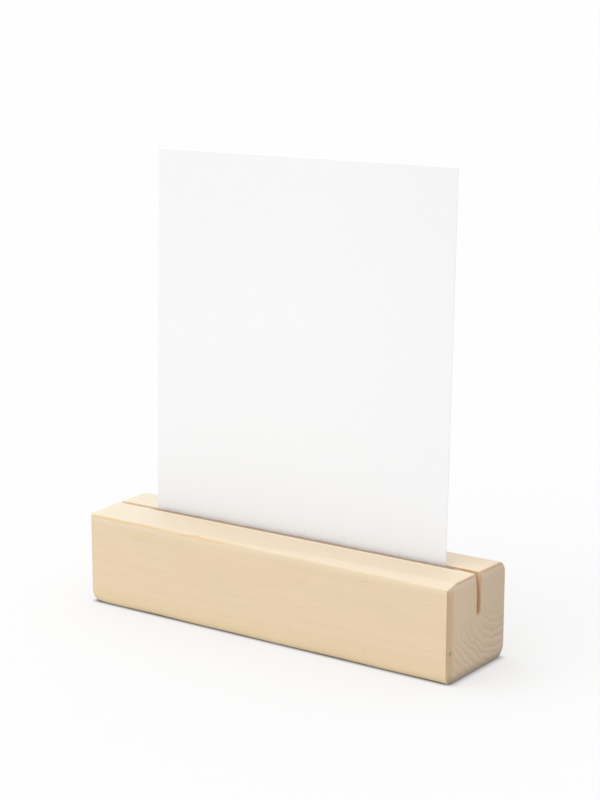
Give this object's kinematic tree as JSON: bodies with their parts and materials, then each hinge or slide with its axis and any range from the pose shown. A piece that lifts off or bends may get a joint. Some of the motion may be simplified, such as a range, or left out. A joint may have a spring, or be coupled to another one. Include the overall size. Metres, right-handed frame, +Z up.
{
  "type": "table number holder",
  "caption": "Softwood block with a straight slot along its top that holds a blank upright white card.",
  "frame": {"origin": "centre of the block's underside", "axes": "+X along the block and its slot, to the right seen from the front; +Y from the front face to the back face; +Z up"},
  "size_m": [0.1605, 0.0386, 0.1705],
  "materials": {
    "pine": "bare softwood, hand sanded, matte",
    "card_stock": "uncoated white card, matte"
  },
  "bodies": {
    "base": {"base_block": "pine"},
    "card": {"card": "card_stock"}
  },
  "joints": [
    {"name": "card_lift", "type": "slide", "parent": "base", "child": "card", "axis": [0, 0.0262, 0.9997], "range_m": [0, 0.02]}
  ]
}
